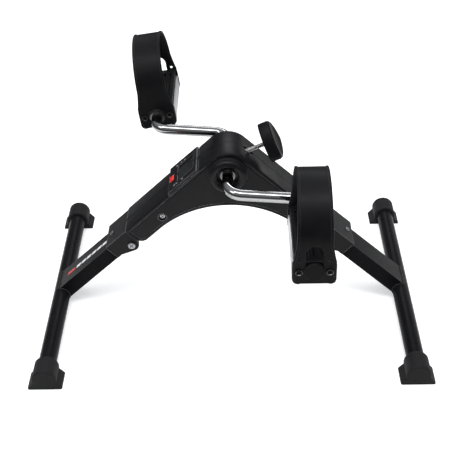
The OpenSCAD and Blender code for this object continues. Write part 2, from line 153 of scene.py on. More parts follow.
LEG_ANGLE = math.degrees(math.atan2(reach.z, reach.x) + math.asin(HINGE_DROP / reach.length))
HINGE_S = math.sqrt(reach.length ** 2 - HINGE_DROP ** 2)
LEG = place((BAR.x, 0, BAR.z), LEG_ANGLE)


# ---------------------------------------------------------------- outlines and skins
def arc(centre, radius, start, end, count):
    """Points along an arc, with its angles in degrees."""
    step = (end - start) / (count - 1)
    angles = [math.radians(start + step * k) for k in range(count)]
    return [(centre[0] + radius * math.cos(a), centre[1] + radius * math.sin(a))
            for a in angles]


def at_y(outline, y):
    """A ring in a plane square to local Y."""
    return [(x, y, z) for x, z in outline]


def loft(rings, loop=False):
    """Points and faces of a skin over rings of equally many points, closed at its ends."""
    n = len(rings[0])
    points = [p for ring in rings for p in ring]
    faces = []
    for i in range(len(rings) if loop else len(rings) - 1):
        a, b = i * n, (i + 1) % len(rings) * n
        faces += [(a + k, a + (k + 1) % n, b + (k + 1) % n, b + k) for k in range(n)]
    if not loop:
        faces.append(tuple(range(n))[::-1])
        faces.append(tuple(range(len(points) - n, len(points))))
    return points, faces


def prism(outline, y0, y1):
    return loft([at_y(outline, y0), at_y(outline, y1)])


def block(x, y, z):
    return prism([(x[0], z[0]), (x[1], z[0]), (x[1], z[1]), (x[0], z[1])], *y)


def lathe(profile, centre=(0, 0), loop=False, steps=64):
    """A profile of (radius, y) turned round a line along local Y."""
    return loft([at_y(arc(centre, r, 0, 360 - 360 / steps, steps), y) for r, y in profile], loop)


def both(*skins):
    """Several skins in one mesh."""
    points, faces = [], []
    for more_points, more_faces in skins:
        faces += [tuple(i + len(points) for i in face) for face in more_faces]
        points += more_points
    return points, faces


# ---------------------------------------------------------------- pieces
def build(name, skin, where):
    mesh = bpy.data.meshes.new(name)
    points, faces = skin
    mesh.from_pydata([where @ Vector(p) for p in points], [], faces)
    bm = bmesh.new()
    bm.from_mesh(mesh)
    bmesh.ops.recalc_face_normals(bm, faces=bm.faces)
    bm.to_mesh(mesh)
    bm.free()
    obj = bpy.data.objects.new(name, mesh)
    bpy.context.scene.collection.objects.link(obj)
    return obj


def bake(obj):
    """Turns an object's modifiers into plain mesh."""
    graph = bpy.context.evaluated_depsgraph_get()
    mesh = bpy.data.meshes.new_from_object(obj.evaluated_get(graph))
    obj.modifiers.clear()
    obj.data = mesh


def carve(obj, skin, where):
    """Cuts a skin's volume out of an object."""
    cutter = build("cutter", skin, where)
    cut = obj.modifiers.new("cut", "BOOLEAN")
    cut.operation = "DIFFERENCE"
    cut.solver = "EXACT"
    cut.object = cutter
    bake(obj)
    bpy.data.objects.remove(cutter)


def soften(obj, width, angle=35, segments=3):
    """Rounds the edges sharper than an angle by a width in mm."""
    weld = obj.modifiers.new("weld", "WELD")
    weld.merge_threshold = 0.00001
    flat = obj.modifiers.new("flat", "DECIMATE")
    flat.decimate_type = "DISSOLVE"
    flat.angle_limit = math.radians(0.5)
    bevel = obj.modifiers.new("bevel", "BEVEL")
    bevel.width = width * MM
    bevel.segments = segments
    bevel.limit_method = "ANGLE"
    bevel.angle_limit = math.radians(angle)
    bevel.use_clamp_overlap = True
    bevel.harden_normals = False
    even = obj.modifiers.new("even", "WEIGHTED_NORMAL")
    even.keep_sharp = False


def dress(obj, body, material, nodes=(), edge=None):
    """Smooths a new piece, gives it its finish and hangs it on its body."""
    obj.data.shade_smooth()
    obj.data.set_sharp_from_angle(angle=math.radians(38))
    if edge:
        soften(obj, edge)
    obj.data.materials.clear()
    obj.data.materials.append(material)
    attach(obj, body)
    if nodes:
        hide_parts(*nodes)


# ---------------------------------------------------------------- materials
def new_material(name):
    """A material with its shader, and a maker of further nodes linked from a dictionary."""
    material = bpy.data.materials.new(name)
    material.use_nodes = True
    tree = material.node_tree
    shader = tree.nodes["Principled BSDF"]

    def node(kind, links=None, **values):
        made = tree.nodes.new(kind)
        for key, value in values.items():
            setattr(made, key, value)
        for socket, source in (links or {}).items():
            if isinstance(source, bpy.types.NodeSocket):
                tree.links.new(source, made.inputs[socket])
            else:
                made.inputs[socket].default_value = source
        return made

    return material, tree, shader, node


def finish_of(name, colour, light, rough, metal=0.0, specular=0.5, grain=900.0, bump=0.1,
              spread=0.1, stretch=(1, 1, 1), edge_wear_and_highlight=0.0, wear_and_highlight_colour=(0.2, 0.2, 0.21), coat=0.0,
              seam=0.0):
    """Moulded, painted or metal surface: two tones, fine grain, uneven gloss, and lightened
    edges, partly wear and partly a painted edge highlight.

    Edges closer to the object's middle plane than seam, in metres, get neither the wear nor the
    painted highlight.
    """
    material, tree, shader, node = new_material(name)
    shader.inputs["Metallic"].default_value = metal
    shader.inputs["Specular IOR Level"].default_value = specular
    shader.inputs["Coat Weight"].default_value = coat
    shader.inputs["Coat Roughness"].default_value = 0.12
    space = node("ShaderNodeTexCoord").outputs["Object"]
    drawn = node("ShaderNodeMapping", {"Vector": space, "Scale": stretch}).outputs[0]
    clouds = node("ShaderNodeTexNoise", {"Vector": drawn, "Scale": 38.0, "Detail": 4.0})
    fine = node("ShaderNodeTexNoise", {"Vector": drawn, "Scale": grain, "Detail": 2.0})
    tones = node("ShaderNodeMix", {0: clouds.outputs["Fac"]}, data_type="RGBA")
    tones.inputs[6].default_value = (*colour, 1)
    tones.inputs[7].default_value = (*light, 1)
    shown = tones.outputs[2]
    # The bevel node finds rounded edges, which are lightened towards the worn colour: partly
    # wear, partly a painted edge highlight.
    if edge_wear_and_highlight:
        edges = node("ShaderNodeBevel", {"Radius": 0.0011}, samples=4)
        facing = node("ShaderNodeNewGeometry").outputs["Normal"]
        turned = node("ShaderNodeVectorMath", {0: edges.outputs[0], 1: facing},
                      operation="DOT_PRODUCT").outputs["Value"]
        rubbed_and_lit = node("ShaderNodeMapRange", {"Value": turned, "From Min": 0.99,
                                             "From Max": 0.86, "To Max": edge_wear_and_highlight}).outputs[0]
        patchy_wear_and_highlight = node("ShaderNodeMath", {0: rubbed_and_lit, 1: clouds.outputs["Fac"]},
                      operation="MULTIPLY").outputs[0]
        if seam:
            depth = node("ShaderNodeSeparateXYZ", {0: space}).outputs["Y"]
            depth = node("ShaderNodeMath", {0: depth}, operation="ABSOLUTE").outputs[0]
            clear = node("ShaderNodeMath", {0: depth, 1: seam}, operation="GREATER_THAN")
            patchy_wear_and_highlight = node("ShaderNodeMath", {0: patchy_wear_and_highlight, 1: clear.outputs[0]},
                          operation="MULTIPLY").outputs[0]
        wear_and_highlight_mix = node("ShaderNodeMix", {0: patchy_wear_and_highlight, 6: shown}, data_type="RGBA")
        wear_and_highlight_mix.inputs[7].default_value = (*wear_and_highlight_colour, 1)
        shown = wear_and_highlight_mix.outputs[2]
    tree.links.new(shown, shader.inputs["Base Color"])
    uneven = node("ShaderNodeMapRange", {
        "Value": clouds.outputs["Fac"], "From Min": 0.3, "From Max": 0.7,
        "To Min": max(rough - spread / 2, 0.02), "To Max": rough + spread / 2,
    }).outputs[0]
    tree.links.new(uneven, shader.inputs["Roughness"])
    relief = node("ShaderNodeBump", {"Height": fine.outputs["Fac"], "Strength": bump,
                                     "Distance": 0.0002}).outputs[0]
    tree.links.new(relief, shader.inputs["Normal"])
    return material


# The worn colours lighten the rounded edges, partly as wear and partly as a painted edge
# highlight; on the shell it is mostly painted highlight.
SHELL = finish_of("shell_plastic", (0.004, 0.004, 0.0048), (0.006, 0.006, 0.007), 0.38,
                  specular=0.16, grain=1500, bump=0.12, spread=0.12, edge_wear_and_highlight=1.5,
                  wear_and_highlight_colour=(0.3, 0.3, 0.305), seam=0.003)
COLLAR = finish_of("collar_plastic", (0.0045, 0.0045, 0.0055), (0.007, 0.007, 0.008), 0.36,
                   specular=0.2, grain=1500, bump=0.08, spread=0.08, edge_wear_and_highlight=0.8,
                   wear_and_highlight_colour=(0.07, 0.07, 0.073))
PEDAL = finish_of("pedal_plastic", (0.004, 0.004, 0.0045), (0.007, 0.007, 0.0078), 0.5,
                  specular=0.1, grain=1300, bump=0.2, edge_wear_and_highlight=1.0, wear_and_highlight_colour=(0.06, 0.06, 0.063))
KNOB = finish_of("knob_plastic", (0.004, 0.004, 0.005), (0.007, 0.007, 0.008), 0.36,
                 specular=0.08, grain=1700, bump=0.12, edge_wear_and_highlight=1.2, wear_and_highlight_colour=(0.08, 0.08, 0.085))
STRAP = finish_of("strap_rubber", (0.004, 0.004, 0.0047), (0.0065, 0.0065, 0.0074), 0.46,
                  specular=0.12, grain=1100, bump=0.25, spread=0.16, edge_wear_and_highlight=1.2,
                  wear_and_highlight_colour=(0.05, 0.05, 0.053))
FOOT = finish_of("foot_rubber", (0.007, 0.007, 0.0075), (0.013, 0.013, 0.014), 0.66,
                 specular=0.16, grain=1000, bump=0.4, spread=0.14, edge_wear_and_highlight=0.8,
                 wear_and_highlight_colour=(0.06, 0.06, 0.06))
PAINT = finish_of("painted_steel", (0.0045, 0.0045, 0.0052), (0.007, 0.007, 0.008), 0.3,
                  specular=0.04, grain=520, bump=0.3, spread=0.1, edge_wear_and_highlight=0.4,
                  wear_and_highlight_colour=(0.15, 0.15, 0.155))
WELD = finish_of("weld_paint", (0.007, 0.007, 0.0068), (0.02, 0.0185, 0.016), 0.45,
                 specular=0.25, grain=420, bump=0.6)
CHROME = finish_of("chrome", (0.38, 0.38, 0.38), (0.46, 0.46, 0.46), 0.08, metal=1.0,
                   grain=300, bump=0.015, spread=0.06)
BOLT = finish_of("fastener_steel", (0.30, 0.31, 0.33), (0.44, 0.45, 0.46), 0.3, metal=1.0,
                 grain=1800, bump=0.1, spread=0.16)
# The washers' steel is darkened as painted shade, for their place deep in the boss and pedal
# recesses.
SHADED_WASHER = finish_of("washer_steel_painted_shade", (0.09, 0.09, 0.092), (0.2, 0.2, 0.203), 0.2, metal=1.0,
                   grain=1500, bump=0.15, spread=0.2)
STUD = finish_of("stud_steel", (0.11, 0.105, 0.095), (0.20, 0.19, 0.17), 0.3, metal=1.0,
                 grain=1800, bump=0.15, spread=0.2)
# Dark steel for the tension nut, and as painted shade on the inner studs and in the floors of
# the screws' cross recesses.
DARK_STEEL_AND_SHADE = finish_of("blackened_steel_and_painted_shade", (0.03, 0.03, 0.032), (0.06, 0.06, 0.063), 0.35,
                      metal=0.6, grain=1800, bump=0.1)
ZINC = finish_of("zinc_steel", (0.56, 0.56, 0.55), (0.70, 0.70, 0.68), 0.3, metal=1.0,
                 grain=900, bump=0.2, spread=0.2)
RAIL = finish_of("rail_steel", (0.55, 0.56, 0.58), (0.68, 0.69, 0.7), 0.28, metal=1.0,
                 grain=1500, bump=0.12, spread=0.2, stretch=(1, 0.05, 1))
NYLON = finish_of("black_nylon", (0.012, 0.012, 0.012), (0.02, 0.02, 0.02), 0.4, grain=1400,
                  bump=0.08)
FELT = finish_of("felt", (0.17, 0.15, 0.13), (0.30, 0.27, 0.24), 0.95, specular=0.1,
                 grain=2600, bump=0.9)
MAGNET = finish_of("magnet", (0.12, 0.12, 0.125), (0.18, 0.18, 0.185), 0.4, metal=0.8)
GLASS = finish_of("lcd_window", (0.010, 0.012, 0.012), (0.014, 0.016, 0.016), 0.2,
                  specular=0.3, grain=600, bump=0.02, spread=0.05)
PANEL = finish_of("lcd_glass", (0.25, 0.29, 0.24), (0.31, 0.35, 0.29), 0.25, grain=2000,
                  bump=0.05)
BOARD = finish_of("circuit_board", (0.01, 0.10, 0.03), (0.02, 0.16, 0.05), 0.4, grain=700,
                  bump=0.3, coat=0.3)
CELL = finish_of("battery_steel", (0.58, 0.59, 0.6), (0.7, 0.7, 0.71), 0.22, metal=1.0,
                 grain=1500, bump=0.08)
RED = finish_of("red_plastic", (0.52, 0.012, 0.010), (0.62, 0.02, 0.014), 0.3, grain=1200,
                bump=0.06, edge_wear_and_highlight=0.3, wear_and_highlight_colour=(0.7, 0.2, 0.18))
PRINT = finish_of("print_white", (0.55, 0.55, 0.56), (0.7, 0.7, 0.7), 0.5, grain=1500,
                  bump=0.15)
PRINT_RED = finish_of("print_red", (0.42, 0.03, 0.03), (0.5, 0.05, 0.05), 0.5, grain=1500,
                      bump=0.15)


def keep(node, material, edge=None, angle=35):
    """Gives a CAD solid its finish and rounded edges."""
    obj = frame["nodes"][node]
    obj.data.materials.clear()
    obj.data.materials.append(material)
    obj.data.shade_smooth()
    obj.data.set_sharp_from_angle(angle=math.radians(35))
    if edge:
        soften(obj, edge, angle)


# ---------------------------------------------------------------- housing
ARCH_Z = HINGE.z + (
    UNDER_N - ARCH_R - HINGE.x * math.sin(math.radians(ARM_ANGLE))
) / math.cos(math.radians(ARM_ANGLE))


def on_arm(u, n):
    """A point of the left arm, u along it and n square to it, in the middle plane."""
    c, s = math.cos(math.radians(ARM_ANGLE)), math.sin(math.radians(ARM_ANGLE))
    return (HINGE.x + u * c - n * s, HINGE.z + u * s + n * c)


def housing_outline(inset):
    """The housing seen from the front, drawn smaller all round by inset."""
    up = 90 + ARM_ANGLE
    half = arc((0, CRANK.z), DOME_R - inset, 90, up, 14)
    half.append(on_arm(END_U + inset, HINGE_BELOW - inset))
    half += arc(on_arm(END_U + CORNER_R, UNDER_N + CORNER_R), CORNER_R - inset,
                up + 90, up + 180, 12)
    half += arc((0, ARCH_Z), ARCH_R + inset, up, 90, 28)
    return half + [(-x, z) for x, z in reversed(half[1:-1])]


SKIN = [  # inset and distance from the middle plane, from the inside to the face
    (WALL, 25.2), (WALL, 0), (0.6, 0), (0, 0.5), (0, 25.6), (0.2, 26.6), (0.7, 27.5),
    (1.4, 28.15), (2.2, 28.45), (2.9, 28.35), (3.4, 27.9), (3.7, 27.2), (4.1, 26.9),
    (4.7, 27.0), (5.4, 27.3), (6.2, 27.45),
]
BOSS = [  # radius and distance from the middle plane, as a closed section with a round collar
    (10.05, 15), (13, 15), (13, 25.5), (20.2, 25.5), (20.2, 26.6), (24.1, 26.8),
    (24.5, 27.3), (24.5, 30.2), (24.3, 30.8), (23.9, 31), (23.4, 31.05), (23.15, 31.4),
    *arc((18.0, 32.8), 5.2, -8, 168, 16), (12.8, 33.4), (12.8, 30.7), (12.6, 30.5),
    (10.25, 30.5), (10.05, 30.3),
]
SCREW_CUP = [
    (2.2, 22.4), (5.9, 22.4), (5.9, 27.45), (5.6, 27.6), (5.25, 27.55), (5.0, 27.25),
    (5.0, 23.7), (4.8, 23.5), (2.2, 23.5),
]
SLOT = arc((0, 3.2), 4.4, 0, 180, 14) + arc((0, -3.2), 4.4, 180, 360, 14)
CROSS = [
    (-3.0, -0.6), (-0.6, -0.6), (-0.6, -3.0), (0.6, -3.0), (0.6, -0.6), (3.0, -0.6),
    (3.0, 0.6), (0.6, 0.6), (0.6, 3.0), (-0.6, 3.0), (-0.6, 0.6), (-3.0, 0.6),
]


def scaled(outline, factor):
    return [(x * factor, z * factor) for x, z in outline]


for end, mirror in ENDS.items():
    rings = [at_y(housing_outline(inset), -y) for inset, y in SKIN]
    shell = build(f"{end}_shell_skin", loft(rings), mirror @ MIDDLE)
    carve(shell, lathe([(BOSS_HOLE_R, -33), (BOSS_HOLE_R, -20)], (0, CRANK.z)), mirror @ MIDDLE)
    carve(shell, prism(SLOT, 22, DOME_R + 5), SCREW @ Y_TO_X)
    carve(shell, block((METER_U[0] - METER_GAPS[0], METER_U[1] + METER_GAPS[1]), (-40, 40),
                       (HINGE_BELOW - METER_SEAT, HINGE_BELOW + 5)), ARM)
    carve(shell, block((METER_U[0] + 1.7, METER_U[1] - 3.4),
                       (-METER_OPENING_HALF, METER_OPENING_HALF),
                       (HINGE_BELOW - 6, HINGE_BELOW)), ARM)
    for side in SIDES.values():
        carve(shell, block((END_U - 4, 22), (-TONGUE_HALF, TONGUE_HALF),
                           (UNDER_N - 3, 9.2)), side @ ARM)
        if end == "front":
            cup_hole = lathe([(CUP_HOLE_R, -30), (CUP_HOLE_R, -20)], (SCREW_U, SCREW_N))
            carve(shell, cup_hole, side @ ARM)
    dress(shell, "housing", SHELL, [f"{end}_shell"])
    ring = [(r, -y) for r, y in BOSS]
    boss = build(f"{end}_crank_boss", lathe(ring, loop=True, steps=96), mirror @ place(CRANK))
    dress(boss, "housing", COLLAR, [f"{end}_shell"])

for side_name, side in SIDES.items():
    cup = [(r, -y) for r, y in SCREW_CUP]
    cup = build(f"{side_name}_screw_cup", lathe(cup, (SCREW_U, SCREW_N), loop=True), side @ ARM)
    dress(cup, "housing", SHELL, ["front_shell"])


def cross_screw(name, body, node, where, head, top, under, shank, far, centre=(0, 0)):
    """A domed screw along local -Y with a carved cross whose floor is a dark insert, painted
    shade: radii and distances in mm.
    """
    profile = [(shank, far), (shank, -under), (head, -under), (head, -top + 0.7),
               (head * 0.93, -top + 0.3), (head * 0.72, -top + 0.06), (head * 0.3, -top)]
    screw = build(name, lathe(profile, centre), where)
    cross = [(x + centre[0], z + centre[1]) for x, z in scaled(CROSS, head / 4.4)]
    carve(screw, prism(cross, -top - 1, -top + 0.9), where)
    dress(screw, body, BOLT, [node])
    # A dark insert at the floor of the carved cross, painted shade for the hollow.
    recess_shade = build(f"{name}_recess", prism(cross, -top + 0.35, -top + 0.95), where)
    dress(recess_shade, body, DARK_STEEL_AND_SHADE, [node])


for side_name, side in SIDES.items():
    cross_screw(f"{side_name}_hinge_bolt", "housing", "hinge_bolts", side @ ARM, 4.75,
                CHEEK_OUT + 3, CHEEK_OUT + 0.3, 3.0, CHEEK_OUT + 4)
    cross_screw(f"{side_name}_shell_screw", "housing", "shell_screws", side @ ARM, 3.6, 25.6,
                23.5, 2.0, 20, (SCREW_U, SCREW_N))

# ---------------------------------------------------------------- meter
CASE = [
    (METER_U[0], CASE_LOW_N), (METER_U[1], CASE_LOW_N), (METER_U[1], 22.4),
    (METER_U[1] - 1, 23.3), (METER_U[0] + 1.5, CASE_HIGH_N), (METER_U[0], 22.5),
]
case = build("meter_cover", prism(CASE, -HALF_W, HALF_W), ARM)
carve(case, block((LCD_U - LCD_SIZE[0] / 2, LCD_U + LCD_SIZE[0] / 2),
                  (-LCD_SIZE[1] / 2, LCD_SIZE[1] / 2), (18, 26)), ARM)
half_u, half_y = BUTTON_SIZE[0] / 2, BUTTON_SIZE[1] / 2
carve(case, block((BUTTON_U - half_u - BUTTON_GAP, BUTTON_U + half_u + BUTTON_GAP),
                  (-half_y - BUTTON_GAP, half_y + BUTTON_GAP), (18, 26)), ARM)
dress(case, "housing", SHELL, ["meter_case"])
tray = build("meter_tray", block((METER_U[0] + 3.8, METER_U[1] - 3.8), (-23, 23),
                                 (10.4, 20.3)), ARM)
carve(tray, block((METER_U[0] + 5.8, METER_U[1] - 5.8), (-21, 21), (9, 22)), ARM)
dress(tray, "housing", SHELL, ["meter_case"], edge=0.3)
button = build("reset_button", block((BUTTON_U - half_u, BUTTON_U + half_u),
                                     (-half_y, half_y), (18.7, 24.5)), ARM)
dress(button, "button", RED, ["meter_button"], edge=1.1)
keep("lcd_lens", GLASS, 0.3)
keep("lcd_panel", PANEL, 0.2)
keep("meter_board", BOARD, 0.2)
keep("meter_battery", CELL, 0.3)
keep("reed_sensor", BOARD, 0.3)

# ---------------------------------------------------------------- crankset
def swept(path, radii, steps=40):
    """A round rod along points of the local XY plane, with a radius at each."""
    rings = []
    for k, (x, y) in enumerate(path):
        before, after = path[max(k - 1, 0)], path[min(k + 1, len(path) - 1)]
        along = Vector((after[0] - before[0], after[1] - before[1], 0)).normalized()
        across = Vector((along.y, -along.x, 0))
        centre = Vector((x, y, 0))
        turns = [2 * math.pi * i / steps for i in range(steps)]
        rings.append([centre + radii[k] * (math.cos(a) * across + Vector((0, 0, math.sin(a))))
                      for a in turns])
    return loft(rings)


def rod_path():
    path = [(0, -0.4), (0, -1.2), (0, -ARM_OFFSET + INNER_BEND)]
    path += arc((INNER_BEND, -ARM_OFFSET + INNER_BEND), INNER_BEND, 180, 270, 18)[1:]
    path += arc((CRANK_LEN - OUTER_BEND, -ARM_OFFSET - OUTER_BEND), OUTER_BEND, 90, 0, 18)
    end = -PEDAL_OUT + 8.2
    path += [(CRANK_LEN, end + 0.8), (CRANK_LEN, end), (CRANK_LEN, end - 0.01),
             (CRANK_LEN, end - 4.5), (CRANK_LEN, end - 5)]
    radii = [ROD_R - 0.8] + [ROD_R] * (len(path) - 6) + [ROD_R, ROD_R - 0.8, 4.0, 4.0, 3.5]
    return path, radii


for end, where in CRANKS.items():
    rod = build(f"{end}_crank_rod", swept(*rod_path()), where)
    dress(rod, "crankset", CHROME, [f"{end}_crank"])
# The washers take steel darkened as painted shade.
for node in ("crank_washers", "pedal_washers"):
    keep(node, SHADED_WASHER, 0.35)
for node in ("spindle_nuts", "drum_pins", "hinge_nuts", "hinge_sleeves"):
    keep(node, BOLT, 0.35)
for node in ("crank_drum", "brake_shoe"):
    keep(node, ZINC, 0.4)
for node in ("left_tongue", "right_tongue"):
    keep(node, PAINT, 0.4)
keep("tension_nut", DARK_STEEL_AND_SHADE, 0.4)
for node in ("front_bush", "rear_bush", "front_pedal_bushes", "rear_pedal_bushes"):
    keep(node, NYLON, 0.3)
keep("crank_magnet", MAGNET, 0.2)
keep("brake_pad", FELT, 0.3)

# ---------------------------------------------------------------- pedals
STRAP_MIDDLE = STRAP_T / 2
ARCH_INNER = (PEDAL_OUT - PEDAL_IN) / 2
ARCH_MID_Y = -(PEDAL_OUT + PEDAL_IN) / 2
ARCH_CENTRE_Z = STRAP_TOP - STRAP_T - ARCH_INNER


def strap_half_width(z):
    """Half the strap's width at a height: rounded foot, straight end, taper to the arch."""
    corner = 5.0
    if z < PEDAL_LOW + corner:
        drop = PEDAL_LOW + corner - z
        return STRAP_END_W / 2 - corner + math.sqrt(max(corner ** 2 - drop ** 2, 0.01))
    if z < STRAP_FLARE:
        return STRAP_END_W / 2
    if z < ARCH_CENTRE_Z:
        share = (z - STRAP_FLARE) / (ARCH_CENTRE_Z - STRAP_FLARE)
        return (STRAP_END_W + (STRAP_MID_W - STRAP_END_W) * share ** 0.8) / 2
    share = (z - ARCH_CENTRE_Z) / (STRAP_TOP - ARCH_CENTRE_Z)
    return (STRAP_MID_W + (STRAP_TOP_W - STRAP_MID_W) * share) / 2


def strap_section(half):
    """The strap's cross-section, across and outwards: raised edges and a lower middle."""
    out, low, under = STRAP_MIDDLE, STRAP_MIDDLE - 0.85, -STRAP_MIDDLE
    right = [(half - 3.6, low), (half - 3.1, low + 0.06), (half - 2.6, out - 0.08),
             (half - 1.9, out), (half - 0.8, out - 0.02), (half - 0.2, out - 0.4),
             (half, 0), (half - 0.3, under + 0.25), (half - 0.9, under)]
    left = [(-x, b) for x, b in reversed(right)]
    return right + left


def strap_skin():
    heights = [PEDAL_LOW, PEDAL_LOW + 0.3, PEDAL_LOW + 1, PEDAL_LOW + 2.2, PEDAL_LOW + 3.6,
               PEDAL_LOW + 5, -8, 0, 8, STRAP_FLARE, 17, 20, 23, 26, 29, 32]
    inner_y, outer_y = -PEDAL_IN + STRAP_MIDDLE, -PEDAL_OUT - STRAP_MIDDLE
    stations = [(inner_y, z, 1, 0) for z in heights]
    for y, z in arc((0, 0), ARCH_INNER + STRAP_MIDDLE, 0, 180, 41):
        length = math.hypot(y, z)
        stations.append((ARCH_MID_Y + y, ARCH_CENTRE_Z + z, y / length, z / length))
    stations += [(outer_y, z, -1, 0) for z in reversed(heights)]
    return loft([[(x, y + b * out_y, z + b * out_z)
                  for x, b in strap_section(strap_half_width(z))]
                 for y, z, out_y, out_z in stations])


WINDOW = [(-10.2, 0), (10.2, 0)] + arc((0, 24), 10.2, 0, 180, 20)
STUD_RIM = [
    (3.0, 0), (3.9, 0), (3.9, 0.7), (3.8, 0.95), (3.6, 1.05), (3.35, 0.95), (3.15, 0.7),
    (3.0, 0.3), (2.8, 0.1), (2.8, -2.4), (3.0, -2.4),
]
STUD_CORE = [(2.75, -2.2), (2.75, -0.6), (2.5, -0.5), (1.6, -0.6), (0.2, -0.7)]

for end, where in PEDALS.items():
    strap = build(f"{end}_foot_strap", strap_skin(), where)
    outer, inner = (-PEDAL_OUT - 4, -PEDAL_OUT + 1), (-PEDAL_IN - 1, -PEDAL_IN + 4)
    carve(strap, lathe([(OUTER_CAP_HOLE_R, outer[0]), (OUTER_CAP_HOLE_R, outer[1])]), where)
    carve(strap, prism(WINDOW, *outer), where)
    carve(strap, lathe([(INNER_ROD_HOLE_R, inner[0]), (INNER_ROD_HOLE_R, inner[1])]), where)
    for x in (-STUD_X, STUD_X):
        for radius, span, z in ((STUD_HOLE_R, outer, 0), (SPARE_HOLE_R, outer, SPARE_HOLE_Z),
                                (STUD_HOLE_R, inner, 0)):
            carve(strap, lathe([(radius, span[0]), (radius, span[1])], (x, z)), where)
    dress(strap, f"{end}_pedal", STRAP, [f"{end}_strap"])
    for number, x in enumerate((-STUD_X, STUD_X), 1):
        for face, y, way in (("outer", -PEDAL_OUT - STRAP_T, -1),
                             ("inner", -PEDAL_IN + STRAP_T, 1)):
            rim = [(r, y + way * d) for r, d in STUD_RIM]
            rim = build(f"{end}_{face}_stud_{number}", lathe(rim, (x, 0), loop=True), where)
            # The inner studs take the darker steel as painted shade; the outer ones take the
            # plain stud steel.
            metal = STUD if face == "outer" else DARK_STEEL_AND_SHADE
            dress(rim, f"{end}_pedal", metal, [f"{end}_strap_studs"])
            core = [(r, y + way * d) for r, d in STUD_CORE]
            core = build(f"{end}_{face}_stud_core_{number}", lathe(core, (x, 0)), where)
            dress(core, f"{end}_pedal", PEDAL, [f"{end}_strap_studs"])
    keep(f"{end}_pedal_block", PEDAL, 0.6)
    keep(f"{end}_pedal_cap", PEDAL, 1.0)
    keep(f"{end}_pedal_rails", RAIL, 0.4)

# ---------------------------------------------------------------- tension screw and knob
def knob_outline(inset):
    """Three-cornered outline of constant width; arcs share the corners' centres."""
    corners = [(KNOB_SIDE / math.sqrt(3) * math.cos(math.radians(120 * k + KNOB_TURN)),
                KNOB_SIDE / math.sqrt(3) * math.sin(math.radians(120 * k + KNOB_TURN)))
               for k in range(3)]
    outline = []
    for k in range(3):
        turn = 120 * k + KNOB_TURN
        outline += arc(corners[k], KNOB_ROUND - inset, turn - 30, turn + 30, 12)
        outline += arc(corners[(k + 2) % 3], KNOB_SIDE + KNOB_ROUND - inset,
                       turn + 33, turn + 87, 19)
    return [(-y, z) for y, z in outline]


KNOB_EDGE = [  # inset and height above the back face
    (2.2, 0), (1.0, 0.15), (0.3, 0.7), (0, 1.6), (0, 11.6), (0.2, 12.7), (0.8, 13.8),
    (1.7, 14.5), (2.8, 14.8), (4.0, 14.7),
]
DISH_R, DISH_DEPTH = 150.0, 2.0
rings = [at_y(knob_outline(inset), KNOB_AT + t) for inset, t in KNOB_EDGE]
for factor in (0.86, 0.7, 0.5, 0.3, 0.1):
    ring = []
    for x, z in scaled(knob_outline(4.0), factor):
        sunk = DISH_DEPTH - (x * x + z * z) / (2 * DISH_R)
        ring.append((x, KNOB_AT + KNOB_T - 0.1 - max(sunk, 0), z))
    rings.append(ring)
knob = build("tension_knob_body", loft(rings), SCREW @ Y_TO_X)
carve(knob, lathe([(3.1, KNOB_AT - 1), (3.1, KNOB_AT + KNOB_T - 2.9)]), SCREW @ Y_TO_X)
dress(knob, "knob", KNOB, ["tension_knob"])

THREAD_PITCH, THREAD_DEPTH, SCREW_R = 1.5, 0.42, 3.0
steps, per_turn = 36, 8
first, last = 18.9, KNOB_AT + KNOB_T - 3
rows = int((last - first) / THREAD_PITCH * per_turn)
rings = [[(1.9 * math.cos(a), 16.1, 1.9 * math.sin(a))
          for a in [2 * math.pi * i / steps for i in range(steps)]]]
for row in range(rows + 1):
    y = first + (last - first) * row / rows
    ring = []
    for i in range(steps):
        phase = (y / THREAD_PITCH - i / steps) % 1
        r = SCREW_R - THREAD_DEPTH * min(abs(phase - 0.5) * 2.6, 1)
        a = 2 * math.pi * i / steps
        ring.append((r * math.cos(a), y, r * math.sin(a)))
    rings.append(ring)
thread = build("tension_screw_thread", loft(rings), SCREW @ Y_TO_X)
dress(thread, "knob", ZINC, ["tension_screw"])

# ---------------------------------------------------------------- legs
CAP_OUTLINE_STEPS = 24


def cap_outline(inset, raise_by=0.0):
    """Foot cap's section: a round barrel that flares into a flat base."""
    low = [(-21.4 + inset, raise_by), (-21.4 + inset, max(1.5, raise_by + 0.01))]
    start = math.degrees(math.atan2(9 - 13.5, 14.4))
    barrel = arc((0, 13.5), CAP_R - inset, 180 - start, start, CAP_OUTLINE_STEPS)
    return low + barrel + [(-x, z) for x, z in reversed(low)]


def cap_skin():
    """Rings of one foot cap from its closed end to its mouth and into the bar's socket."""
    end = -FOOT_LENGTH / 2
    rows = [(3.0, 0), (1.4, 0.25), (0.5, 0.9), (0, 2.0)]
    grooves = []
    y = 5.0
    while y < CAP_LEN - 4:
        grooves += [(y, 0), (y + 0.01, 1.2), (y + 2.4, 1.2), (y + 2.41, 0)]
        y += 6
    rings = [at_y(cap_outline(inset), end + depth) for inset, depth in rows]
    rings += [at_y(cap_outline(0, lift), end + depth) for depth, lift in grooves]
    rings += [at_y(cap_outline(inset), end + depth)
              for inset, depth in ((0, CAP_LEN - 1.2), (0.35, CAP_LEN - 0.4), (1.1, CAP_LEN))]
    middle = BAR.z
    for radius, depth in ((BAR_R + 0.5, CAP_LEN), (BAR_R + 0.05, CAP_LEN - 0.6),
                          (BAR_R + 0.05, 3)):
        ring = []
        for x, z in cap_outline(1.1):
            away = math.hypot(x, z - middle)
            ring.append((x / away * radius, end + depth, middle + (z - middle) / away * radius))
        rings.append(ring)
    return loft(rings)


